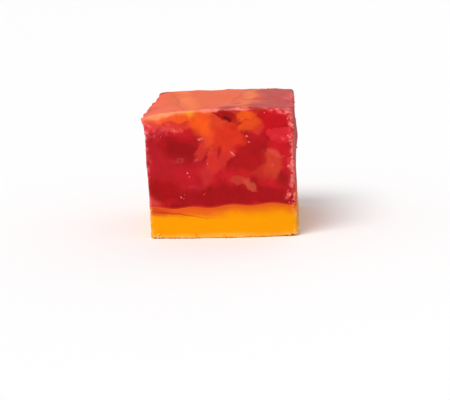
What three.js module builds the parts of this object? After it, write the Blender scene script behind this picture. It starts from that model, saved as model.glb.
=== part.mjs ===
// A cube of marbled fudge, cut by hand from a poured slab. A thin plain yellow layer lies below a thick
// red one. The underside is flat, the top is the slab's set surface and slopes down to the front left
// and over a shoulder at the right, and the four walls are knife cuts: nearly flat, with crumbled edges.
import * as THREE from "three";
import { mergeVertices } from "three/addons/utils/BufferGeometryUtils.js";

// Sizes in millimetres. X runs from left to right along the front wall, Y from front to back and Z up.
// The origin is at the middle of the flat underside.
const WIDTH = 26;
const DEPTH = 25.7;
const HEIGHT = 22.65;
const EDGE_RADIUS = 0.52;

// The join between the layers, which waves as the second pour pushed into the first.
const YELLOW_HEIGHT = 5.6;
const JOIN_SWELL = 0.22;
const JOIN_SWELL_X = 8; // where the long swell is highest at the front wall
const JOIN_RIPPLE = 0.17;
const JOIN_RIPPLE_X = 2;
const JOIN_RISE = 0.6; // how much higher the join is at the back than at the front
const JOIN_GAP = 0.3;

// The slumped top, highest along a crown line right of the middle and falling away to both sides.
const CROWN_X = 4.6;
const CROWN_FALL = 1.1;
const SHOULDER_RIGHT = 0.82; // further drop of the front right corner
const SHOULDER_BACK = 0.28;
const SLUMP_DEPTH = 7; // the slump dies out this far below the top

// The left edge of the top sags and hangs over a little, most of all near its front end.
const LIP_REACH = 0.62;
const LIP_SAG = 0.45;
const LIP_SIZE = 1.9;
const LIP_BACK = 4.5; // how far behind the front wall it hangs over most
const LIP_LENGTH = 7.5;

// The knife leant and wandered: the left wall stands in and runs further in at its foot, the right wall
// runs out at its foot and bulges towards the back, and the front wall swells out at its foot's middle.
const INSET_LEFT = 0.35;
const LEAN_LEFT = 0.38;
const FLARE_RIGHT = 0.43;
const INSET_BACK_RIGHT = 0.28;
const BULGE_RIGHT = 0.5;
const BULGE_HEIGHT = 13.9;
const BULGE_SIZE = 3;
const FOOT_SWELL = 0.66;

// The two lower front corners are broken off a little.
const CHIP_LEFT = 0.2;
const CHIP_RIGHT = 0.31;
const CHIP_SIZE = 3.5;

// Relief of the walls and top: how deep, and over what length.
const SWELL_DEPTH = 0.22;
const SWELL_LENGTH = 8.5;
const DRAG_DEPTH = 0.04;
const DRAG_LENGTH = 3.1;
const CRUMBLE_DEPTH = 0.17;
const CRUMBLE_LENGTH = 1.5;
const CRUMBLE_BAND = 0.75; // the crumbled band beside each edge

// Each layer's grid, with the lines drawn closer together towards the edges.
const CELLS_ACROSS = 30;
const RED_CELLS_UP = 18;
const YELLOW_CELLS_UP = 5;
const EDGE_CROWDING = 0.3;

const RED = 0xb41d22;
const YELLOW = 0xfba208;
const ROUGHNESS = 0.42;

const halfWidth = WIDTH / 2;
const halfDepth = DEPTH / 2;
const clamp = THREE.MathUtils.clamp;

// A random value from 0 to 1 at a point of the unit lattice, the same at every run.
function latticeValue(i, j, k) {
  const s = Math.sin(i * 127.1 + j * 311.7 + k * 74.7) * 43758.5453;
  return s - Math.floor(s);
}

// Smooth noise from -1 to 1, a smoothstep blend of the eight lattice values around the point.
function noise(x, y, z) {
  const corner = [Math.floor(x), Math.floor(y), Math.floor(z)];
  const [u, v, w] = [x, y, z].map((value, axis) => {
    const t = value - corner[axis];
    return t * t * (3 - 2 * t);
  });
  let sum = 0;
  for (let di = 0; di < 2; di++)
    for (let dj = 0; dj < 2; dj++)
      for (let dk = 0; dk < 2; dk++) {
        const weight = (di ? u : 1 - u) * (dj ? v : 1 - v) * (dk ? w : 1 - w);
        sum += weight * latticeValue(corner[0] + di, corner[1] + dj, corner[2] + dk);
      }
  return 2 * sum - 1;
}

const noiseOver = (length, x, y, z) => noise(x / length, y / length, z / length);

// Height of the middle of the join: a long swell, a short ripple, and a rise towards the back.
function joinHeight(x, y) {
  const fromFront = y + halfDepth;
  const swell = JOIN_SWELL * Math.cos(0.22 * (x - JOIN_SWELL_X) + 0.13 * fromFront);
  const ripple = JOIN_RIPPLE * Math.cos(0.9 * (x - JOIN_RIPPLE_X) - 0.47 * fromFront);
  return YELLOW_HEIGHT + swell + ripple + (JOIN_RISE * fromFront) / DEPTH;
}

// How far a point of a face is from the nearest edge of the plain box.
function distanceToEdge(x, y, z) {
  const gaps = [halfWidth - Math.abs(x), halfDepth - Math.abs(y), Math.min(z, HEIGHT - z)];
  return gaps.sort((p, q) => p - q)[1];
}

// Depth of the relief at a point of a face: swells, drag marks, and crumbling beside the edges. It never
// cuts deeper than the rounding of the edges.
function reliefAt(x, y, z) {
  const band = Math.exp(-((distanceToEdge(x, y, z) / CRUMBLE_BAND) ** 2));
  const swell = SWELL_DEPTH * noiseOver(SWELL_LENGTH, x + 18, y + 29, z + 29);
  const drag = DRAG_DEPTH * noiseOver(DRAG_LENGTH, x, y, z + 90);
  const crumble = CRUMBLE_DEPTH * (noiseOver(CRUMBLE_LENGTH, x + 70, y, z) - 0.3);
  return Math.max(swell + drag + band * crumble, -0.8 * EDGE_RADIUS);
}

// The plain box's face point (x, y, z), moved onto the rounded edges and then in or out by the relief.
// The underside has no relief, so it stays flat.
function facePoint(x, y, z) {
  const core = new THREE.Vector3(
    clamp(x, EDGE_RADIUS - halfWidth, halfWidth - EDGE_RADIUS),
    clamp(y, EDGE_RADIUS - halfDepth, halfDepth - EDGE_RADIUS),
    clamp(z, EDGE_RADIUS, HEIGHT - EDGE_RADIUS),
  );
  const outward = new THREE.Vector3(x, y, z).sub(core).normalize();
  const relief = reliefAt(x, y, z) * (1 - Math.max(0, -outward.z));
  return core.addScaledVector(outward, EDGE_RADIUS + relief);
}

// How far the top has dropped at x; front runs from 0 at the back wall to 1 at the front wall.
function slump(x, front) {
  const fall = CROWN_FALL * front * ((x - CROWN_X) / (halfWidth + CROWN_X)) ** 2;
  const shoulder = THREE.MathUtils.lerp(SHOULDER_BACK, x > 0 ? SHOULDER_RIGHT : 0, front);
  return fall + shoulder * Math.abs(x / halfWidth) ** 5;
}

// The whole block bends together: the top slumps, its left edge hangs over, the walls follow
// the knife, and the lower front corners are chipped.
function bend(point) {
  const { x, y, z } = point;
  const a = x / halfWidth;
  const front = (1 - y / halfDepth) / 2;
  const low = 1 - z / HEIGHT;
  const top = clamp(1 - (HEIGHT - z) / SLUMP_DEPTH, 0, 1);
  const lipAcross = Math.hypot(x + halfWidth, z - HEIGHT) / LIP_SIZE;
  const lipAlong = (y + halfDepth - LIP_BACK) / LIP_LENGTH;
  const nearLip = Math.exp(-(lipAcross ** 2) - lipAlong ** 2);
  const fromChip = Math.hypot(Math.abs(x) - halfWidth, y + halfDepth, z);
  const nearChip = Math.max(0, 1 - (fromChip / CHIP_SIZE) ** 2) ** 2;
  const chip = (a < 0 ? CHIP_LEFT : CHIP_RIGHT) * nearChip;

  if (a < 0) {
    point.x -= a * (INSET_LEFT + LEAN_LEFT * low) + LIP_REACH * nearLip;
  } else {
    const bulge = BULGE_RIGHT * Math.exp(-(((z - BULGE_HEIGHT) / BULGE_SIZE) ** 2));
    point.x += a * (FLARE_RIGHT * low ** 4 + (bulge - INSET_BACK_RIGHT) * (1 - front));
  }
  point.y -= FOOT_SWELL * low ** 4 * front * (1 - a * a);
  point.z = Math.max(0, z - slump(x, front) * top * top - LIP_SAG * nearLip) + chip;
  return point;
}

// A layer between two heights, each a function of x and y. It starts as a box of cells: the grid's lines
// crowd towards the edges, the walls take their relief, and a face inside the block is a plain sheet
// whose rings are scaled copies of its outline.
function layer(lowHeight, highHeight, cellsUp, insideFace) {
  const box = new THREE.BoxGeometry(2, 2, 2, CELLS_ACROSS, CELLS_ACROSS, cellsUp);
  box.deleteAttribute("normal");
  box.deleteAttribute("uv");
  const geometry = mergeVertices(box);
  const position = geometry.getAttribute("position");
  const crowd = (t) => t * (1 + EDGE_CROWDING - EDGE_CROWDING * t * t);
  for (let i = 0; i < position.count; i++) {
    const a = crowd(position.getX(i));
    const b = crowd(position.getY(i));
    const up = (position.getZ(i) + 1) / 2;
    const heightAt = (x, y) => THREE.MathUtils.lerp(lowHeight(x, y), highHeight(x, y), up);
    const x = a * halfWidth;
    const y = b * halfDepth;
    const ring = Math.max(Math.abs(a), Math.abs(b));
    let point;
    if (up === insideFace && ring < 1) {
      const scale = Math.max(ring, 1e-9);
      const rim = facePoint(x / scale, y / scale, heightAt(x / scale, y / scale));
      point = new THREE.Vector3(rim.x * ring, rim.y * ring, heightAt(x, y));
    } else {
      point = facePoint(x, y, heightAt(x, y));
    }
    position.setXYZ(i, ...bend(point));
  }
  geometry.computeVertexNormals();
  return geometry;
}

function yellowLayer() {
  const high = (x, y) => joinHeight(x, y) - JOIN_GAP / 2;
  return layer(() => 0, high, YELLOW_CELLS_UP, 1);
}

function redLayer() {
  const low = (x, y) => joinHeight(x, y) + JOIN_GAP / 2;
  return layer(low, () => HEIGHT, RED_CELLS_UP, 0);
}

function fudge(name, geometry, color) {
  const material = new THREE.MeshStandardMaterial({ color, roughness: ROUGHNESS, metalness: 0 });
  const mesh = new THREE.Mesh(geometry, material);
  mesh.name = name;
  return mesh;
}

const fudgeCube = new THREE.Group();
fudgeCube.add(fudge("yellow_layer", yellowLayer(), YELLOW));
fudgeCube.add(fudge("red_layer", redLayer(), RED));

export default fudgeCube;
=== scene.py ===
import bpy
import numpy as np
from mathutils import Matrix, Vector


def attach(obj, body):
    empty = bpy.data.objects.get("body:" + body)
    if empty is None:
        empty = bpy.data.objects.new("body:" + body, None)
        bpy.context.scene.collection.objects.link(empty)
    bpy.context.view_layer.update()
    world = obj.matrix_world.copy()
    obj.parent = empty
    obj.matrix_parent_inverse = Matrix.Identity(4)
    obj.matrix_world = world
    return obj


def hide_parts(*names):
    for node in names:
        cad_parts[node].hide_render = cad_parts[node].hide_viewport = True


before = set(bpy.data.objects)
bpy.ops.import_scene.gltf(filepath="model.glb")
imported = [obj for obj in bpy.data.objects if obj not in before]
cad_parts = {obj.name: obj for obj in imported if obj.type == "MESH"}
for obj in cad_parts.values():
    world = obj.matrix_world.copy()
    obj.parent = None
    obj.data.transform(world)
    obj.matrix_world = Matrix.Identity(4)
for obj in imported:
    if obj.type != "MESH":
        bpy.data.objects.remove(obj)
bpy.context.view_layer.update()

# The yellow layer: plain sugar-and-butter fudge, poured first into a lined tray, so its underside is
# flat. The block was cut by hand once set, and both layers share the knife's walls, so the form of the
# whole block is worked out here. Sizes are in millimetres, as cut; the mesh is turned to metres.
WIDTH, DEPTH, HEIGHT = 26.0, 25.7, 22.65
SIDE, BACK, TOP = WIDTH / 2, DEPTH / 2, HEIGHT  # the right, back and top faces of the plain box
EDGE_RADIUS = 0.52


def lattice_noise(size, x, y, z):
    """Smooth noise from -1 to 1 with lumps of one size: each unit cell's eight corners have a fixed
    value, the fractional part of a large sine, and a smoothstep of the place in the cell blends them."""
    places = [axis / size for axis in np.broadcast_arrays(x, y, z)]
    cells = [np.floor(axis) for axis in places]
    blends = [(p - c) ** 2 * (3 - 2 * (p - c)) for p, c in zip(places, cells)]
    total = 0.0
    for corner in np.ndindex(2, 2, 2):
        i, j, k = (c + step for c, step in zip(cells, corner))
        value = np.sin(i * 127.1 + j * 311.7 + k * 74.7) * 43758.5453
        weight = np.prod([b if step else 1 - b for b, step in zip(blends, corner)], axis=0)
        total = total + weight * (value - np.floor(value))
    return 2 * total - 1


YELLOW_HEIGHT = 5.6
JOIN_SWELL, JOIN_RIPPLE, JOIN_RISE = 0.22, 0.17, 0.6


def join_height(x, y):
    """Height of the join: a long swell, 29 mm from crest to crest along the front, and a short ripple,
    7 mm, both cosines that run slantwise, and a rise to the back."""
    behind = y + BACK
    swell = JOIN_SWELL * np.cos(0.22 * (x - 8) + 0.13 * behind)
    ripple = JOIN_RIPPLE * np.cos(0.9 * (x - 2) - 0.47 * behind)
    return YELLOW_HEIGHT + swell + ripple + JOIN_RISE * behind / DEPTH


def edge_distance(x, y, z):
    """Distance from a face's point to the nearest edge of the plain box: the middle one of the three
    gaps to its sides, as the smallest is the face's own, which is nothing."""
    gaps = [SIDE - abs(x), BACK - abs(y), np.minimum(z, TOP - z)]
    return np.sort(np.stack(np.broadcast_arrays(*gaps)), axis=0)[1]


SWELL_DEPTH, SWELL_LENGTH = 0.22, 8.5
DRAG_DEPTH, DRAG_LENGTH = 0.04, 3.1
CRUMBLE_DEPTH, CRUMBLE_LENGTH = 0.17, 1.5
CRUMBLE_BAND = 0.75  # how far the crumbling reaches from an edge


def coarse_relief(x, y, z):
    """Swells of the cut face, drag marks of the knife, and the crumbled band beside each edge, never
    cut deeper than the rounding of the edges."""
    band = np.exp(-((edge_distance(x, y, z) / CRUMBLE_BAND) ** 2))
    swell = SWELL_DEPTH * lattice_noise(SWELL_LENGTH, x + 18, y + 29, z + 29)
    drag = DRAG_DEPTH * lattice_noise(DRAG_LENGTH, x, y, z + 90)
    crumble = CRUMBLE_DEPTH * (lattice_noise(CRUMBLE_LENGTH, x + 70, y, z) - 0.3)
    return np.maximum(swell + drag + band * crumble, -0.8 * EDGE_RADIUS)


def beside_upright(x, y, side, reach):
    """A bell curve round one of the front wall's two upright edges, seen from above."""
    return np.exp(-((x - side) ** 2 + (y + BACK) ** 2) / reach**2)


FINE_CRUMB_DEPTH = 0.3  # how far the fine crumbs stand out


def crumb_relief(x, y, z):
    """Fine crumbs beside the edges: the peaks of two small noises, in a band of uneven width. Most lie
    along the front right edge, where the knife came out, and some at the front left one."""
    width = 0.4 + 0.3 * lattice_noise(2.6, x + 11, y + 5, z)
    band = np.exp(-((edge_distance(x, y, z) / width) ** 2))
    lumps = np.maximum(0, lattice_noise(0.62, x, y + 50, z) - 0.05)
    specks = 0.4 * np.maximum(0, lattice_noise(0.3, x + 33, y, z + 8))
    exit_edge, entry_edge = beside_upright(x, y, SIDE, 2), beside_upright(x, y, -SIDE, 2.5)
    return band * (lumps + specks) * (0.25 + 0.85 * exit_edge + 0.4 * entry_edge)


def edge_wear_and_highlight(x, y, z):
    """How pale the edges are, partly worn to broken sugar and partly a painted highlight where the rounded
    edges catch the light: a narrow band beside them, broken up by a long and a short noise. It is wider and
    hardly broken along the front right edge."""
    exit_edge = beside_upright(x, y, SIDE, 1.2)
    band = np.exp(-((edge_distance(x, y, z) / (0.35 + 0.25 * exit_edge)) ** 2))
    stretch = 0.9 * lattice_noise(3.6, x, y, z + 60) * (1 - exit_edge)
    broken = np.maximum(0, 0.42 + stretch + 0.5 * lattice_noise(1.4, x, y, z + 40))
    return band * broken * (0.9 + exit_edge)


# How far the top falls from its crown line, its shoulders drop further and its left edge hangs over, how
# far the walls stand in, lean, flare and bulge, and how deep the corners are chipped.
CROWN_X, CROWN_FALL = 4.6, 1.1
SHOULDER_RIGHT, SHOULDER_BACK = 0.82, 0.28
SLUMP_DEPTH = 7  # the slump of the top dies out this far down
LIP_REACH, LIP_SAG, LIP_SIZE = 0.62, 0.45, 1.9
LIP_BACK, LIP_LENGTH = 4.5, 7.5  # how far behind the front wall the lip hangs over most
INSET_LEFT, LEAN_LEFT = 0.35, 0.38
FLARE_RIGHT, INSET_BACK_RIGHT = 0.43, 0.28
BULGE_RIGHT, BULGE_HEIGHT, BULGE_SIZE = 0.5, 13.9, 3.0
FOOT_SWELL = 0.66
CHIP_LEFT, CHIP_RIGHT, CHIP_SIZE = 0.2, 0.31, 3.5


def bend(x, y, z):
    """The block bends together. The top falls by a parabola from the crown line and by a fifth power at
    the shoulders, and its left edge hangs over by a bell curve. The lower front corners are chipped
    by a bell that ends at the chip's size. The walls lean, flare and bulge as the knife did."""
    a, front, low = x / SIDE, (1 - y / BACK) / 2, 1 - z / HEIGHT
    slump = np.clip(1 - (HEIGHT - z) / SLUMP_DEPTH, 0, 1) ** 2
    fall = CROWN_FALL * front * ((x - CROWN_X) / (SIDE + CROWN_X)) ** 2
    shoulder = SHOULDER_BACK * (1 - front) + np.where(a > 0, SHOULDER_RIGHT, 0) * front
    lip_across = ((x + SIDE) ** 2 + (z - HEIGHT) ** 2) / LIP_SIZE**2
    lip = np.exp(-lip_across - ((y + BACK - LIP_BACK) / LIP_LENGTH) ** 2)
    from_chip = (abs(x) - SIDE) ** 2 + (y + BACK) ** 2 + z**2
    chip = np.where(a < 0, CHIP_LEFT, CHIP_RIGHT) * np.maximum(0, 1 - from_chip / CHIP_SIZE**2) ** 2
    bulge = BULGE_RIGHT * np.exp(-(((z - BULGE_HEIGHT) / BULGE_SIZE) ** 2)) - INSET_BACK_RIGHT
    left = -a * (INSET_LEFT + LEAN_LEFT * low) - LIP_REACH * lip
    right = a * (FLARE_RIGHT * low**4 + bulge * (1 - front))
    return np.stack([
        x + np.where(a < 0, left, right),
        y - FOOT_SWELL * low**4 * front * (1 - a * a),
        np.maximum(0, z - (fall + shoulder * abs(a) ** 5) * slump - LIP_SAG * lip) + chip,
    ], axis=-1)


def cut_face(x, y, z, proud=0.0):
    """A point of the plain box's face, moved onto edges rounded about a smaller core box, then out by
    the relief and by what stands proud. The underside has none of either, so it stays flat. Gives the
    block's point and the direction outwards."""
    box = np.stack(np.broadcast_arrays(x, y, z), axis=-1).astype(float)
    low = np.array([EDGE_RADIUS - SIDE, EDGE_RADIUS - BACK, EDGE_RADIUS])
    core = np.clip(box, low, np.array([SIDE, BACK, TOP]) - EDGE_RADIUS)
    outward = box - core
    outward /= np.linalg.norm(outward, axis=-1, keepdims=True)
    kept = 1 - np.maximum(0, -outward[..., 2])
    relief = (coarse_relief(*np.moveaxis(box, -1, 0)) + proud) * kept
    point = core + outward * (EDGE_RADIUS + relief)[..., None]
    return bend(*np.moveaxis(point, -1, 0)), outward


EDGE_CROWDING = 0.3


def closer_at_edge(t):
    """Steps from -1 to 1 that draw together towards both ends, by a cubic."""
    return t * (1 + EDGE_CROWDING - EDGE_CROWDING * t * t)


def closed_faces(rings, spokes, downwards=False):
    """Faces of a surface that is closed by a pole at both ends: a fan, bands of quads, and a fan. They
    point outwards where each ring goes anticlockwise, seen from above, and the rings follow each other
    upwards, or downwards where that is said."""
    j, k = np.arange(spokes), (np.arange(spokes) + 1) % spokes
    start = 1 + spokes * np.arange(rings - 1)[:, None]
    quads = np.stack([start + j, start + k, start + spokes + k, start + spokes + j], axis=-1)
    last = 1 + rings * spokes
    lower = np.stack([0 * j, 1 + k, 1 + j], axis=-1)
    upper = np.stack([0 * j + last, last - spokes + j, last - spokes + k], axis=-1)
    faces = lower.tolist() + quads.reshape(-1, 4).tolist() + upper.tolist()
    return [face[:1] + face[:0:-1] for face in faces] if downwards else faces


def smooth_piece(name, points, faces):
    """A new object with a smooth mesh, from points in millimetres."""
    mesh = bpy.data.meshes.new(name)
    mesh.from_pydata((points / 1000).tolist(), [], faces)
    mesh.shade_smooth()
    piece = bpy.data.objects.new(name, mesh)
    bpy.context.collection.objects.link(piece)
    return piece


def fudge_layer(name, low, high, side_steps, wall_rows, low_rings, high_rings, shut):
    """A closed surface of two parameters. One runs round the block's square outline; the other runs
    from the middle of the bottom out to the wall, up it, and in to the middle of the top. The face at
    the join, which shut names, is a plain sheet whose rings are scaled copies of its rim. Each point
    keeps its height above the join, how pale it is, and how far it faces up, as the set skin does."""
    side = closer_at_edge(np.linspace(-1, 1, side_steps + 1)[:-1])
    one = np.ones(side_steps)
    a = np.concatenate([side, one, -side, -one])
    b = np.concatenate([-one, side, one, -side])
    up = np.linspace(0, 1, wall_rows + 1)
    up = closer_at_edge(up) if shut == "low" else 1 - closer_at_edge(1 - up)
    rows = [(r, 0.0) for r in closer_at_edge(np.linspace(0, 1, low_rings + 1))[:-1]]
    rows += [(1.0, u) for u in up]
    rows += [(r, 1.0) for r in closer_at_edge(np.linspace(0, 1, high_rings + 1))[:-1][::-1]]
    ring, share = (np.array(column)[:, None] for column in zip(*rows))

    x, y = a * ring * SIDE, b * ring * BACK
    z = low(x, y) * (1 - share) + high(x, y) * share
    fine = crumb_relief(x, y, z)
    points, outward = cut_face(x, y, z, FINE_CRUMB_DEPTH * fine)
    join = low if shut == "low" else high
    rim, _ = cut_face(a * SIDE, b * BACK, join(a * SIDE, b * BACK))
    sheet = (share == (0.0 if shut == "low" else 1.0)) & (ring < 1)
    points = np.where(sheet[..., None], rim * ring[..., None], points)
    points[..., 2] = np.where(sheet, z, points[..., 2])

    spokes = len(a)
    kept = slice(spokes - 1, 1 - spokes)  # one point of the first ring and one of the last, as poles
    piece = smooth_piece(name, points.reshape(-1, 3)[kept], closed_faces(len(rows) - 2, spokes))
    for label, values in (
        ("above_join", z - join_height(x, y)),
        # pale: fine crumbs, worn rims, and a painted highlight along the rounded edges
        ("pale", np.clip(fine + edge_wear_and_highlight(x, y, z), 0, 1)),
        ("skin", np.maximum(0, outward[..., 2])),
    ):
        values = np.broadcast_to(values, x.shape).reshape(-1)[kept]
        piece.data.attributes.new(label, "FLOAT", "POINT").data.foreach_set("value", values)
    return piece


yellow = fudge_layer("yellow_fudge_layer", lambda x, y: 0 * x, join_height, side_steps=130, wall_rows=30,
                     low_rings=50, high_rings=8, shut="high")
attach(yellow, "root")
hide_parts("yellow_layer")


def linear(colour):
    """An sRGB hex colour as linear red, green, blue and alpha."""
    parts = np.array([int(colour[i : i + 2], 16) for i in (0, 2, 4)]) / 255
    return (*np.where(parts <= 0.04045, parts / 12.92, ((parts + 0.055) / 1.055) ** 2.4).tolist(), 1.0)


def add(tree, kind, inputs=(), **settings):
    """Adds one node: its settings, and its inputs as values or as the sockets that they come from."""
    node = tree.nodes.new(kind)
    for name, value in settings.items():
        setattr(node, name, value)
    for socket, value in dict(inputs).items():
        if isinstance(value, bpy.types.NodeSocket):
            tree.links.new(value, node.inputs[socket])
        else:
            node.inputs[socket].default_value = value
    return node


# Sizes in metres, since a noise's scale counts lumps to the metre: of the dents, the sugar grain and the
# clouds, and then, for each noise that stirs the folds, its own size and how far it moves them. Real
# sugar grain is a few hundredths of a millimetre, and is drawn as coarse as it needs to show.
DENT_SIZE, GRAIN_SIZE, CLOUD_SIZE = 0.0016, 0.00035, 0.0028
STIRS = ((0.0075, 0.0009), (0.0024, 0.0007), (0.0009, 0.00025))
SUGAR_IOR = 1.45


def satin_fudge(name, roughness, gloss, stir):
    """A new material with its shader: satin, smoother on the set top than on the cut walls and rougher
    on worn rims, with a fine bump of sugar grain on soft dents, which the set top hardly shows. Gives
    the place in the block, stirred by three noises, and a cloudy noise that frays the folds' edges."""
    material = bpy.data.materials.new(name)
    material.use_nodes = True
    tree = material.node_tree
    shader = tree.nodes["Principled BSDF"]
    shader.inputs["IOR"].default_value = SUGAR_IOR
    shader.inputs["Specular IOR Level"].default_value = gloss
    place = add(tree, "ShaderNodeTexCoord").outputs["Object"]
    dents = add(tree, "ShaderNodeTexNoise", {"Vector": place, "Scale": 1 / DENT_SIZE, "Detail": 2.0})
    grain = add(tree, "ShaderNodeTexNoise", {"Vector": place, "Scale": 1 / GRAIN_SIZE, "Detail": 1.0})
    skin = add(tree, "ShaderNodeAttribute", attribute_name="skin").outputs["Fac"]
    pale = add(tree, "ShaderNodeAttribute", attribute_name="pale").outputs["Fac"]
    rough = add(tree, "ShaderNodeMapRange", {
        "Value": skin, "To Min": roughness + 0.18, "To Max": roughness,
    }).outputs[0]
    for unevenness, share in ((dents.outputs["Fac"], 0.15), (pale, 0.25)):
        rough = add(tree, "ShaderNodeMath", {
            0: unevenness, 1: share, 2: rough,
        }, operation="MULTIPLY_ADD").outputs[0]
    tree.links.new(rough, shader.inputs["Roughness"])
    height = add(tree, "ShaderNodeMath", {
        0: grain.outputs["Fac"], 1: 0.3, 2: dents.outputs["Fac"],
    }, operation="MULTIPLY_ADD").outputs[0]
    strength = add(tree, "ShaderNodeMapRange", {"Value": skin, "To Min": 0.5, "To Max": 0.06}).outputs[0]
    bump = add(tree, "ShaderNodeBump", {"Height": height, "Strength": strength, "Distance": 0.00012})
    tree.links.new(bump.outputs["Normal"], shader.inputs["Normal"])
    for size, reach in STIRS:
        noise = add(tree, "ShaderNodeTexNoise", {"Vector": place, "Scale": 1 / size, "Detail": 1.0})
        shift = add(tree, "ShaderNodeVectorMath", {
            0: noise.outputs["Color"], 1: (0.5,) * 3,
        }, operation="SUBTRACT").outputs[0]
        place = add(tree, "ShaderNodeVectorMath", {
            0: shift, 1: (2 * reach * stir,) * 3, 2: place,
        }, operation="MULTIPLY_ADD").outputs[0]
    cloud = add(tree, "ShaderNodeTexNoise", {
        "Vector": place, "Scale": 1 / CLOUD_SIZE, "Detail": 3.0, "Roughness": 0.6,
    })
    return material, tree, shader, place, cloud.outputs["Fac"]


def swirl(tree, place, cloud, fray, colour, middle, size, turn, cover, blur, tint, swing=0):
    """Lays a fold of another tint over the colour below it: an ellipsoid, half faded at its half
    widths, with an edge that the cloudy noise frays and the blur softens. The cover is how much it
    hides at its middle. Seen from the front it is turned clockwise by the turn, and seen from above
    anticlockwise by the swing. Middle and half widths are in millimetres, the angles in degrees."""
    at = add(tree, "ShaderNodeMapping", {
        "Vector": place,
        "Location": Vector(middle) / 1000,
        "Rotation": np.radians((0, turn, swing)),
        "Scale": Vector(size) / 500,
    }, vector_type="TEXTURE")
    ball = add(tree, "ShaderNodeTexGradient", {"Vector": at.outputs[0]}, gradient_type="SPHERICAL")
    frayed = add(tree, "ShaderNodeMath", {
        0: cloud, 1: fray, 2: ball.outputs["Fac"],
    }, operation="MULTIPLY_ADD").outputs[0]
    edge = 0.5 + fray / 2
    soft = add(tree, "ShaderNodeMapRange", {
        "Value": frayed, "From Min": edge - blur, "From Max": edge + blur, "To Max": cover,
    }, interpolation_type="SMOOTHSTEP")
    mix = add(tree, "ShaderNodeMix", {0: soft.outputs[0], 6: colour, 7: linear(tint)}, data_type="RGBA")
    return mix.outputs[2]


GRIT_SIZE = 0.0008


def grit(tree, place):
    """How pale broken sugar looks, from 0.15 to 1.5: a fine noise with its contrast raised."""
    noise = add(tree, "ShaderNodeTexNoise", {"Vector": place, "Scale": 1 / GRIT_SIZE, "Detail": 3.0})
    return add(tree, "ShaderNodeMapRange", {
        "Value": noise.outputs["Fac"], "From Min": 0.42, "From Max": 0.6, "To Min": 0.15, "To Max": 1.5,
    }).outputs[0]


# Egg-yolk yellow sugar fudge, smooth from the knife, with a satin face. Red has bled a little way down
# from the join, as far as the clouds let it, and deepest in a wedge at the left of the front, which a
# thin darker fold runs along. Each fold gives its middle, its half widths, and swirl's other values.
YELLOW_FRAY = 0.3
material, tree, shader, place, cloud = satin_fudge(
    "yellow sugar fudge", roughness=0.36, gloss=0.05, stir=0.35
)
height = add(tree, "ShaderNodeAttribute", attribute_name="above_join").outputs["Fac"]
reach = add(tree, "ShaderNodeMath", {0: cloud, 1: 1.4, 2: height}, operation="MULTIPLY_ADD").outputs[0]
bleed = add(tree, "ShaderNodeMapRange", {
    "Value": reach, "From Min": -1.3, "From Max": 0.75,
}, interpolation_type="SMOOTHSTEP")
ramp = add(tree, "ShaderNodeValToRGB", {"Fac": bleed.outputs[0]})
ramp.color_ramp.elements[0].color = linear("F99E00")
ramp.color_ramp.elements[1].color = linear("E2581A")
ramp.color_ramp.elements.new(0.6).color = linear("E87410")
colour = ramp.outputs[0]
for fold in (
    ((-6.5, -13, 4.8), (6.5, 7, 0.6), 8, 0.7, 0.3, "EC5E1E"),
    ((-11.8, -13, 4.9), (4.0, 6, 0.7), 8, 0.75, 0.3, "D84022"),
    ((-9.2, -13, 4.45), (4.2, 6, 0.13), 7, 0.8, 0.25, "BE3A0E"),
    ((-4.6, -13, 3.8), (3.6, 6, 0.10), 7, 0.6, 0.25, "DC5A0A"),
    ((8.0, -13, 4.6), (7.0, 6, 0.8), -3, 0.35, 0.35, "F08408"),
    ((-13.1, -13, 2.4), (0.7, 3, 3.2), -2, 0.4, 0.3, "F9B040"),
    ((0.0, -13, 0.0), (22, 2.0, 0.75), 0, 0.55, 0.3, "FFC254"),
    ((9.0, 6, 4.6), (5.0, 8, 0.8), -8, 0.6, 0.3, "F07414"),
    ((-8.0, 12, 3.6), (6.0, 6, 0.5), 6, 0.5, 0.3, "EE7A10"),
):
    colour = swirl(tree, place, cloud, YELLOW_FRAY, colour, *fold)
# Cream on the crumbs and rims: broken sugar, and on the rims partly a painted highlight where the rounded
# edges catch the light.
pale = add(tree, "ShaderNodeAttribute", attribute_name="pale").outputs["Fac"]
share = add(tree, "ShaderNodeMath", {0: grit(tree, place), 1: pale}, operation="MULTIPLY")
mix = add(tree, "ShaderNodeMix", {0: share.outputs[0], 6: colour, 7: linear("FFC060")}, data_type="RGBA")
tree.links.new(mix.outputs[2], shader.inputs["Base Color"])
yellow.data.materials.append(material)


# The red layer: the same fudge coloured red and folded with a little orange, poured over the set
# yellow one. The folds were stirred in, so they run through the block and show on every face.
red = fudge_layer("red_fudge_layer", join_height, lambda x, y: 0 * x + TOP, side_steps=130, wall_rows=90,
                  low_rings=8, high_rings=62, shut="low")
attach(red, "root")
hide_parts("red_layer")

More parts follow.
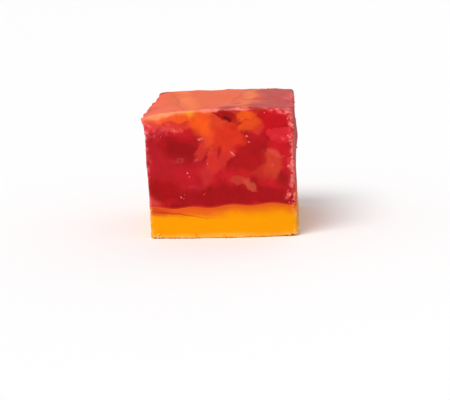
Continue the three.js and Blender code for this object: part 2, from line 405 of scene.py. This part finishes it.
# Crumbs that the knife pressed flat and dragged along: thin pale smears, broken into lumps, each a bell
# curve. One on the front gives its middle x, z, its length and width, its turn in degrees and its
# strength, and one on the top, beside an edge, its middle x, y, its two half widths and its strength.
ON_FRONT, ON_TOP = 0.9 - BACK, 20.5  # the front wall lies before the first, and the top above the second
places = np.empty(3 * len(red.data.vertices))
red.data.vertices.foreach_get("co", places)
x, y, z = 1000 * places.reshape(-1, 3).T
smeared = 0 * x
for (x0, z0), (length, width), turn, strength in (
    ((-7.2, 19.0), (0.9, 0.3), 3, 1.0),
    ((-8.9, 18.9), (1.6, 0.5), 0, 0.2),
    ((-10.9, 18.8), (1.0, 0.9), 0, 0.3),
    ((-12.3, 19.5), (0.7, 1.2), 0, 1.0),
    ((-9.6, 19.9), (2.0, 0.5), 0, 0.25),
    ((-3.1, 17.4), (0.45, 0.15), 20, 0.8),
    ((-6.8, 13.9), (0.8, 0.5), 0, 0.25),
    ((-3.9, 13.8), (0.5, 0.25), 0, 0.25),
    ((-4.3, 8.9), (1.3, 0.3), 0, 0.15),
    ((-12.2, 13.6), (0.5, 0.9), 0, 0.4),
    ((9.7, 14.8), (0.8, 0.4), 25, 0.15),
    ((9.4, 12.7), (0.35, 0.35), 0, 0.2),
    ((10.9, 17.3), (0.9, 0.3), 20, 0.3),
    ((8.0, 15.1), (0.5, 0.4), 0, 0.15),
    ((10.6, 21.85), (2.6, 0.3), 14, 0.8),
    ((12.5, 19.6), (0.25, 1.3), 0, 0.8),
    ((2.35, 14.65), (0.5, 0.2), 52, 0.3),
    ((12.6, 12.6), (0.5, 0.9), 0, 1.0),
    ((12.7, 9.4), (0.5, 0.9), 0, 0.8),
    ((11.9, 7.4), (0.4, 0.7), 30, 0.8),
    ((12.7, 18.0), (0.3, 2.0), 0, 0.7),
):
    s, c = np.sin(np.radians(turn)), np.cos(np.radians(turn))
    along, across = c * (x - x0) - s * (z - z0), s * (x - x0) + c * (z - z0)
    smeared += strength * np.exp(-((along / length) ** 2) - (across / width) ** 2)
smeared *= y < ON_FRONT
for (x0, y0), (length, width), strength in (
    ((12.3, -9.5), (0.7, 2.2), 1.0),
    ((12.0, 1.0), (1.0, 1.5), 0.7),
    ((12.5, 5.5), (0.5, 3.0), 0.6),
    ((-11.8, -11.6), (1.3, 0.9), 0.5),
):
    smeared += strength * np.exp(-(((x - x0) / length) ** 2) - ((y - y0) / width) ** 2) * (z > ON_TOP)
lumpy = 0.8 + 0.9 * lattice_noise(0.55, x, y, z) + 0.5 * lattice_noise(0.28, x, y, z)
smeared *= np.clip(lumpy, 0, 1.5)
red.data.attributes.new("smeared", "FLOAT", "POINT").data.foreach_set("value", np.clip(smeared, 0, 1))

# Deep red sugar fudge with orange folds, smooth from the knife, with a satin face. First the red, in
# soft lumps, then orange clouds that stay behind the front and under the top, then the folds one by
# one, from broad ones to small specks. The lumps, clouds and mottle are sized in metres.
LUMP_SIZE, ORANGE_SIZE, MOTTLE_SIZE = 0.0034, 0.0085, 0.0013
RED_FRAY = 0.6
material, tree, shader, place, cloud = satin_fudge(
    "red and orange marbled sugar fudge", roughness=0.36, gloss=0.17, stir=1
)
lumps = add(tree, "ShaderNodeTexNoise", {"Vector": place, "Scale": 1 / LUMP_SIZE, "Detail": 2.0})
ramp = add(tree, "ShaderNodeValToRGB", {"Fac": lumps.outputs["Fac"]})
ramp.color_ramp.elements[0].position = 0.36
ramp.color_ramp.elements[0].color = linear("A20006")
ramp.color_ramp.elements[1].position = 0.66
ramp.color_ramp.elements[1].color = linear("CA121F")
ramp.color_ramp.elements.new(0.5).color = linear("B40A14")
colour = ramp.outputs[0]

orange = add(tree, "ShaderNodeTexNoise", {"Vector": place, "Scale": 1 / ORANGE_SIZE, "Detail": 3.5})
axes = add(tree, "ShaderNodeSeparateXYZ", {0: place})
behind = add(tree, "ShaderNodeMapRange", {
    "Value": axes.outputs["Y"], "From Min": -0.0125, "From Max": -0.009,
})
under = add(tree, "ShaderNodeMapRange", {
    "Value": axes.outputs["Z"], "From Min": 0.0215, "From Max": 0.019,
})
inside = add(tree, "ShaderNodeMath", {0: behind.outputs[0], 1: under.outputs[0]}, operation="MULTIPLY")
for low, high, tint in ((0.515, 0.55, "D83018"), (0.565, 0.62, "FA6208")):
    part = add(tree, "ShaderNodeMapRange", {
        "Value": orange.outputs["Fac"], "From Min": low, "From Max": high,
    }, interpolation_type="SMOOTHSTEP")
    share = add(tree, "ShaderNodeMath", {0: part.outputs[0], 1: inside.outputs[0]}, operation="MULTIPLY")
    mix = add(tree, "ShaderNodeMix", {0: share.outputs[0], 6: colour, 7: linear(tint)}, data_type="RGBA")
    colour = mix.outputs[2]

for fold in (
    ((10.5, 0, 22.9), (4.5, 18, 1.2), 0, 0.85, 0.25, "C62C1A"),
    ((-9.5, -13, 12.5), (3.4, 7, 2.4), 0, 0.7, 0.25, "BD1523"),
    ((-11.0, -13, 15.8), (2.2, 6, 3.0), 0, 0.75, 0.3, "BA1422"),
    ((-10.9, -13, 19.4), (2.6, 5, 0.8), 0, 0.7, 0.3, "D8283C"),
    ((9.8, -13, 20.4), (3.4, 5, 2.2), 0, 0.9, 0.2, "C90413"),
    ((11.0, -13, 17.7), (2.4, 4, 1.1), 18, 0.75, 0.06, "E22531"),
    ((10.4, -13, 15.9), (2.2, 5, 1.1), 0, 0.6, 0.25, "CC0A18"),
    ((8.9, -13, 12.9), (2.2, 6, 2.7), 0, 0.9, 0.1, "D33A24"),
    ((9.7, -13, 14.8), (1.1, 3, 0.6), 20, 0.6, 0.3, "EC4A38"),
    ((6.0, -13, 12.4), (1.8, 5, 1.4), 0, 0.4, 0.2, "C02216"),
    ((11.4, -13, 9.7), (1.9, 5, 1.4), 0, 0.7, 0.25, "A20E14"),
    ((2.5, -13, 7.4), (10.5, 8, 1.6), 0, 0.85, 0.1, "A4020A"),
    ((7.0, -13, 11.2), (2.2, 5, 1.1), 35, 0.5, 0.12, "C4301E"),
    ((3.6, -13, 10.2), (1.6, 4, 0.6), 10, 0.6, 0.15, "CC4030"),
    ((5.4, -13, 9.1), (1.4, 4, 0.6), 38, 0.75, 0.15, "D44E38"),
    ((-9.4, -13, 8.4), (2.9, 7, 1.8), 0, 0.85, 0.1, "A40008"),
    ((-5.0, -13, 10.4), (2.6, 6, 2.0), 0, 0.6, 0.25, "C11023"),
    ((-3.9, -13, 13.2), (1.9, 6, 1.6), 0, 0.7, 0.3, "BC1420"),
    ((-6.3, -13, 15.6), (3.8, 7, 2.5), 0, 0.8, 0.08, "AC030E"),
    ((-6.0, -13, 15.3), (2.5, 6, 2.0), 0, 0.85, 0.12, "9A0008"),
    ((5.6, -13, 14.4), (2.6, 8, 2.6), 30, 0.85, 0.1, "B0080E"),
    ((-1.7, -13, 11.8), (1.2, 6, 2.2), 25, 0.75, 0.2, "CF2B2B"),
    ((-3.1, -13, 15.4), (1.1, 5, 1.9), 15, 0.8, 0.15, "D43026"),
    ((0.4, -13, 14.5), (2.1, 7, 3.2), 30, 0.85, 0.08, "D62E24"),
    ((1.3, -13, 18.4), (3.3, 8, 3.2), 0, 0.95, 0.07, "DC3014"),
    ((-0.3, -13, 20.9), (1.9, 6, 2.0), 0, 0.85, 0.25, "E2421C"),
    ((-8.0, -13, 20.0), (5.2, 5, 1.1), 0, 0.8, 0.15, "E23A26"),
    ((-4.0, 1, 22.9), (11.0, 18, 2.4), 0, 0.95, 0.1, "F05B16"),
    ((-9.0, -13, 21.2), (4.8, 4, 1.0), 0, 0.85, 0.1, "FA5618"),
    ((-11.3, -1, 22.7), (1.2, 10, 1.2), 0, 0.7, 0.3, "FF5A34"),
    ((-11.2, -10.5, 22.2), (3.6, 6.0, 2.0), 0, 0.9, 0.3, "F8673C"),
    ((-10.6, -7.0, 22.6), (1.4, 3.0, 1.0), 0, 0.6, 0.3, "F2503A"),
    ((-6.2, 0, 22.9), (1.6, 15, 1.0), 0, 0.75, 0.3, "FF7A24", 10),
    ((-7.9, -0.6, 22.9), (0.3, 12, 1.0), 0, 0.5, 0.3, "B04A10", 10),
    ((2.5, -2, 22.9), (0.35, 8, 0.8), 0, 0.35, 0.3, "A8380E", -6),
    ((4.9, 0, 22.9), (1.0, 14, 1.0), 0, 0.75, 0.25, "F2742C", -2),
    ((8.4, 4, 22.9), (1.6, 9, 1.2), 0, 0.7, 0.2, "BC2E1C"),
    ((1.2, -7.3, 22.9), (1.2, 2, 1.0), 0, 0.5, 0.3, "F0625A"),
    ((-2.4, -11, 22.7), (1.2, 4, 1.0), 0, 0.7, 0.3, "EE4A0C"),
    ((1.7, -11.8, 22.8), (1.6, 2.6, 0.8), 0, 0.9, 0.2, "AE1608"),
    ((7.3, -10.5, 22.8), (1.3, 4.0, 0.8), 0, 0.75, 0.25, "B4240E"),
    ((-1.7, -13, 17.9), (1.1, 8, 2.4), -8, 0.8, 0.25, "F04C22"),
    ((-3.2, -13, 20.4), (1.6, 5, 1.8), -25, 0.9, 0.3, "FC5A10"),
    ((6.7, -13, 19.6), (1.1, 6, 1.4), 0, 0.8, 0.12, "D6321F"),
    ((5.0, -13, 20.4), (1.9, 6, 2.1), 0, 0.95, 0.12, "EA4A12"),
    ((4.6, -13, 21.6), (1.5, 3, 0.9), 0, 0.9, 0.15, "F0540F"),
    ((1.1, -13, 21.8), (1.9, 2, 0.6), 5, 1.0, 0.08, "B0060A"),
    ((1.6, -13, 21.3), (1.1, 2, 0.75), 20, 1.0, 0.1, "A4060A"),
    ((1.7, -13, 21.15), (0.85, 1.5, 0.3), 25, 0.9, 0.2, "560000"),
    ((0.2, -13, 14.9), (0.55, 2, 1.0), 0, 0.8, 0.2, "B30C16"),
    ((3.0, -13, 19.3), (0.7, 3, 0.6), 20, 0.6, 0.2, "C42410"),
    ((3.8, -13, 19.9), (0.26, 0.5, 0.2), 0, 1.0, 0.3, "7A0800"),
    ((4.3, -13, 20.2), (0.16, 0.5, 0.14), 0, 1.0, 0.3, "6A0400"),
    ((3.7, -13, 21.0), (0.15, 0.5, 0.15), 0, 0.9, 0.3, "8A1000"),
    ((4.3, -13, 21.4), (0.15, 0.5, 0.13), 0, 0.9, 0.3, "8A1000"),
    ((4.9, -13, 20.8), (0.16, 0.5, 0.16), 0, 1.0, 0.3, "7A0800"),
    ((5.5, -13, 20.8), (0.14, 0.5, 0.14), 0, 0.8, 0.3, "8A1000"),
    ((-11.6, -13, 6.0), (1.5, 3, 1.0), 0, 0.75, 0.35, "D8423A"),
):
    colour = swirl(tree, place, cloud, RED_FRAY, colour, *fold)

# A fine mottle of light and dark, weaker on the set top. Then orange where the yellow has bled up over
# the join, pink where broken sugar shows in smears and on the rims, which are worn and partly a painted
# highlight, and a painted highlight along the rounded front edge of the top, where it catches the light.
mottle = add(tree, "ShaderNodeTexNoise", {"Vector": place, "Scale": 1 / MOTTLE_SIZE, "Detail": 3.0})
value = add(tree, "ShaderNodeMapRange", {
    "Value": mottle.outputs["Fac"], "From Min": 0.3, "From Max": 0.7, "To Min": 0.91, "To Max": 1.07,
}).outputs[0]
skin = add(tree, "ShaderNodeAttribute", attribute_name="skin").outputs["Fac"]
cut = add(tree, "ShaderNodeMapRange", {"Value": skin, "To Min": 1.0, "To Max": 0.3}).outputs[0]
colour = add(tree, "ShaderNodeHueSaturation", {"Fac": cut, "Color": colour, "Value": value}).outputs[0]
height = add(tree, "ShaderNodeAttribute", attribute_name="above_join").outputs["Fac"]
bleed = add(tree, "ShaderNodeMapRange", {
    "Value": height, "From Min": 0.0, "From Max": 0.35,
}, interpolation_type="SMOOTHSTEP")
mix = add(tree, "ShaderNodeMix", {0: bleed.outputs[0], 6: linear("D83C12"), 7: colour}, data_type="RGBA")
colour = mix.outputs[2]
broken = grit(tree, place)
# The pink on the rims is worn, broken sugar, and partly a painted highlight where the rounded edges catch
# the light.
for name, tint in (("smeared", "FF666C"), ("pale", "FF7F7A")):
    much = add(tree, "ShaderNodeAttribute", attribute_name=name).outputs["Fac"]
    share = add(tree, "ShaderNodeMath", {0: broken, 1: much}, operation="MULTIPLY").outputs[0]
    colour = add(tree, "ShaderNodeMix", {0: share, 6: colour, 7: linear(tint)}, data_type="RGBA").outputs[2]
# The first four folds are painted highlights along the rounded front edge of the top, where it catches the
# light. The last is a thin pale streak over a smear on the front.
for fold in (
    ((-7.6, -12.9, 22.0), (5.0, 1.0, 0.6), -8, 0.9, 0.3, "FF9E66"),
    ((-4.7, -12.9, 22.0), (1.0, 0.9, 0.7), 0, 0.85, 0.3, "F79C30"),
    ((-1.4, -12.9, 22.4), (2.4, 0.8, 0.4), -5, 0.85, 0.3, "FF8A68"),
    ((1.6, -12.9, 22.6), (3.4, 0.6, 0.2), -2, 0.85, 0.3, "FF8482"),
    ((2.35, -13, 14.65), (0.55, 0.5, 0.06), 52, 0.6, 0.3, "FF9A8E"),
):
    colour = swirl(tree, place, cloud, RED_FRAY, colour, *fold)
tree.links.new(colour, shader.inputs["Base Color"])
red.data.materials.append(material)


# Crumbs: grains of broken sugar fudge that the knife left along the edges and smeared over the cut
# faces. They are paler than the block, because light scatters in the broken crystals.
CRUMB_RINGS, CRUMB_SPOKES = 4, 7  # the grid of a grain, between its two poles


def crumb_heap(name, spots, sizes, seed):
    """Lumpy grains, each a closed surface of two parameters: a sphere's angle u from its top pole and v
    round it, its radius changed by 1 + 0.3 sin(2 u + p) cos(3 v + q). Each is stretched, turned and
    sunk into its face by chance. A spot is a point of a face, in the plain box. A grain that would
    reach below the underside is lifted on to the table."""
    chance = np.random.default_rng(seed)
    count = len(spots)
    u = np.linspace(0, np.pi, CRUMB_RINGS + 2)[:, None]
    v = np.linspace(0, 2 * np.pi, CRUMB_SPOKES + 1)[:-1]
    p, q = chance.uniform(0, 2 * np.pi, (2, count, 1, 1))
    radius = 1 + 0.3 * np.sin(2 * u + p) * np.cos(3 * v + q)
    sphere = np.broadcast_arrays(np.sin(u) * np.cos(v), np.sin(u) * np.sin(v), np.cos(u))
    ball = np.stack(sphere, axis=-1) * radius[..., None]
    stretch = chance.uniform((0.7, 0.6, 0.5), (1.5, 1.0, 0.9), (count, 3))
    ball *= (sizes[:, None] * stretch)[:, None, None]
    turns, _ = np.linalg.qr(chance.normal(size=(count, 3, 3)))
    turns *= np.sign(np.linalg.det(turns))[:, None, None]
    centre, outward = cut_face(*spots.T)
    centre = centre + outward * (sizes * chance.uniform(-0.5, 0.1, count))[:, None]
    ball = np.einsum("nij,nuvj->nuvi", turns, ball) + centre[:, None, None]
    ball[..., 2] += np.maximum(0, -ball[..., 2].min(axis=(1, 2)))[:, None, None]
    points = ball.reshape(count, -1, 3)[:, CRUMB_SPOKES - 1 : 1 - CRUMB_SPOKES]
    grain = closed_faces(CRUMB_RINGS, CRUMB_SPOKES, downwards=True)
    starts = range(0, count * points.shape[1], points.shape[1])
    faces = [[start + corner for corner in face] for start in starts for face in grain]
    return smooth_piece(name, points.reshape(-1, 3), faces)


CLUMP_GRAINS, CLUMP_SPREAD = 5, 0.02  # grains to a clump, and its spread as a share of the edge


def edge_spots(chance, count, start, end, spread):
    """Spots in clumps along an edge of the plain box, each moved inwards over one of the edge's two
    faces by an exponential distance."""
    start, end = np.array(start, float), np.array(end, float)
    clumps = count // CLUMP_GRAINS + 1
    clump = chance.uniform(size=clumps)[chance.integers(0, clumps, count)]
    along = np.clip(clump + chance.normal(0, CLUMP_SPREAD, count), 0, 1)
    spots = start + along[:, None] * (end - start)
    axis = chance.choice(np.flatnonzero(start == end), count)
    inwards = np.sign(np.array([0, 0, HEIGHT / 2]) - start)
    spots[np.arange(count), axis] += inwards[axis] * chance.exponential(spread, count)
    return spots


LARGEST_CRUMB = 0.36


def crumb_sizes(chance, count, usual):
    """Radii with a log-normal spread about the usual one, up to the largest crumb's."""
    return np.minimum(usual * np.exp(chance.normal(0, 0.4, count)), LARGEST_CRUMB)


# Red grains on the edges above the join: how many, the edge's two ends, their spread and usual radius.
chance = np.random.default_rng(5)
edges = (
    (150, (SIDE, -BACK, 6), (SIDE, -BACK, TOP), 0.35, 0.15),
    (60, (SIDE, -BACK, TOP), (SIDE, BACK, TOP), 0.4, 0.13),
    (30, (-SIDE, -BACK, TOP), (SIDE, -BACK, TOP), 0.3, 0.08),
    (20, (-SIDE, -BACK, 6), (-SIDE, -BACK, TOP), 0.4, 0.08),
    (14, (-SIDE, -BACK, TOP), (-SIDE, BACK, TOP), 0.5, 0.08),
    (24, (-SIDE, BACK, TOP), (SIDE, BACK, TOP), 0.5, 0.08),
    (26, (SIDE, BACK, 6), (SIDE, BACK, TOP), 0.5, 0.09),
    (40, (-SIDE, BACK, 6), (-SIDE, BACK, TOP), 0.4, 0.11),
)
spots = [edge_spots(chance, count, start, end, spread) for count, start, end, spread, _ in edges]
sizes = [crumb_sizes(chance, count, usual) for count, _, _, _, usual in edges]

# Clusters pressed on to the front wall: how many grains, the middle x, z, the spread and usual radius.
clusters = (
    (9, (-7.4, 19.0), (0.5, 0.15), 0.10),
    (7, (-10.6, 18.6), (0.7, 0.6), 0.10),
    (3, (-8.6, 20.2), (0.2, 0.2), 0.10),
    (5, (-3.0, 17.4), (0.35, 0.15), 0.12),
    (2, (5.0, 17.8), (0.06, 0.06), 0.22),
    (2, (5.4, 16.7), (0.1, 0.1), 0.09),
    (3, (-5.7, 11.5), (0.06, 0.08), 0.14),
    (2, (-5.3, 10.8), (0.06, 0.1), 0.10),
    (2, (-1.9, 13.0), (0.1, 0.1), 0.10),
    (3, (-6.6, 6.9), (0.15, 0.15), 0.06),
    (2, (-6.4, 7.7), (0.1, 0.1), 0.06),
    (2, (-2.7, 7.9), (0.1, 0.1), 0.07),
    (5, (12.0, 7.4), (0.2, 0.4), 0.15),
    (8, (12.6, 12.9), (0.15, 0.5), 0.24),
    (6, (12.7, 9.8), (0.15, 0.4), 0.2),
    (6, (12.5, 20.8), (0.3, 0.5), 0.11),
)
for count, middle, spread, usual in clusters:
    x, z = (middle + chance.normal(size=(count, 2)) * spread).T
    spots.append(np.stack([np.clip(x, -SIDE, SIDE), 0 * x - BACK, np.clip(z, 6.2, TOP)], axis=-1))
    sizes.append(crumb_sizes(chance, count, usual))
red_crumbs = crumb_heap("red_crumbs", np.concatenate(spots), np.concatenate(sizes), 8)
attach(red_crumbs, "root")

# Yellow grains on the edges below the join, most of them along the foot of the front wall.
edges = (
    (200, (-SIDE, -BACK, 0), (SIDE, -BACK, 0), 0.15, 0.16),
    (40, (SIDE, -BACK, 0), (SIDE, BACK, 0), 0.3, 0.13),
    (40, (-SIDE, -BACK, 0), (-SIDE, BACK, 0), 0.3, 0.13),
    (40, (-SIDE, BACK, 0), (SIDE, BACK, 0), 0.3, 0.13),
    (10, (SIDE, -BACK, 0), (SIDE, -BACK, 5), 0.3, 0.09),
    (10, (-SIDE, -BACK, 0), (-SIDE, -BACK, 5), 0.3, 0.09),
    (10, (SIDE, BACK, 0), (SIDE, BACK, 5), 0.3, 0.09),
    (10, (-SIDE, BACK, 0), (-SIDE, BACK, 5), 0.3, 0.09),
)
spots = [edge_spots(chance, count, start, end, spread) for count, start, end, spread, _ in edges]
sizes = [crumb_sizes(chance, count, usual) for count, _, _, _, usual in edges]
yellow_crumbs = crumb_heap("yellow_crumbs", np.concatenate(spots), np.concatenate(sizes), 9)
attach(yellow_crumbs, "root")

# Broken sugar fudge, drier and rougher than the cut face, so it looks powdery: pink from the red layer
# and cream from the yellow one, in clouds of a darker and a paler colour.
for piece, name, dark, pale in (
    (red_crumbs, "broken red sugar fudge", "DC4A4C", "FF8278"),
    (yellow_crumbs, "broken yellow sugar fudge", "FAA820", "FFC860"),
):
    material, tree, shader, place, cloud = satin_fudge(name, roughness=0.6, gloss=0.05, stir=1)
    ramp = add(tree, "ShaderNodeValToRGB", {"Fac": cloud})
    ramp.color_ramp.elements[0].position = 0.35
    ramp.color_ramp.elements[0].color = linear(dark)
    ramp.color_ramp.elements[1].position = 0.6
    ramp.color_ramp.elements[1].color = linear(pale)
    tree.links.new(ramp.outputs[0], shader.inputs["Base Color"])
    piece.data.materials.append(material)


# The studio: a plain white table that runs out of sight, a broad soft light from the front left and
# above, a weak one from behind, and an even white surround.
bpy.ops.mesh.primitive_plane_add(size=8)
table = bpy.context.object
table.name = "table"
material = bpy.data.materials.new("matt white table")
material.use_nodes = True
material.node_tree.nodes["Principled BSDF"].inputs["Base Color"].default_value = linear("FCFCFC")
material.node_tree.nodes["Principled BSDF"].inputs["Roughness"].default_value = 0.9
table.data.materials.append(material)

for name, strength, spread, towards in (
    ("key", 1.8, 35, (0.35, 0.44, -0.83)),
    ("back fill", 0.2, 60, (-0.3, -0.8, -0.5)),
):
    light = bpy.data.lights.new(name, "SUN")
    light.energy = strength
    light.angle = np.radians(spread)
    lamp = bpy.data.objects.new(name, light)
    lamp.rotation_euler = Vector(towards).to_track_quat("-Z", "Y").to_euler()
    bpy.context.collection.objects.link(lamp)

world = bpy.context.scene.world or bpy.data.worlds.new("studio")
bpy.context.scene.world = world
world.use_nodes = True
world.node_tree.nodes["Background"].inputs["Color"].default_value = (1, 1, 1, 1)
world.node_tree.nodes["Background"].inputs["Strength"].default_value = 0.53
bpy.context.scene.view_settings.view_transform = "Standard"

# The camera, solved from the cube's outline: it stands 4.3 degrees to the right of straight in front,
# looks down by 11.6 and is rolled by 2.2. A target inside the cube falls on its own pixel of the image.
IMAGE_WIDTH, IMAGE_HEIGHT, FOCAL_PIXELS = 450, 400, 1400
SENSOR_WIDTH = 36
TARGET, TARGET_PIXEL, DISTANCE = np.array([0, 0, 0.0115]), (223.73, 159.48), 0.25378
side, down, roll = np.radians([4.32, 11.59, 2.16])
forward = np.array([-np.sin(side) * np.cos(down), np.cos(side) * np.cos(down), -np.sin(down)])
right = np.array([np.cos(side), np.sin(side), 0.0])
upward = np.cross(right, forward)
right, upward = (
    np.cos(roll) * right - np.sin(roll) * upward,
    np.sin(roll) * right + np.cos(roll) * upward,
)
across = (TARGET_PIXEL[0] - IMAGE_WIDTH / 2) / FOCAL_PIXELS
above = (IMAGE_HEIGHT / 2 - TARGET_PIXEL[1]) / FOCAL_PIXELS
eye = TARGET - DISTANCE * (forward + across * right + above * upward)
camera_data = bpy.data.cameras.new("camera")
camera_data.sensor_width = SENSOR_WIDTH
camera_data.lens = FOCAL_PIXELS / IMAGE_WIDTH * SENSOR_WIDTH
camera_data.clip_start = 0.01
camera = bpy.data.objects.new("camera", camera_data)
turn = Matrix(np.column_stack([right, upward, -forward]).tolist()).to_4x4()
camera.matrix_world = Matrix.Translation(eye.tolist()) @ turn
bpy.context.collection.objects.link(camera)
bpy.context.scene.camera = camera
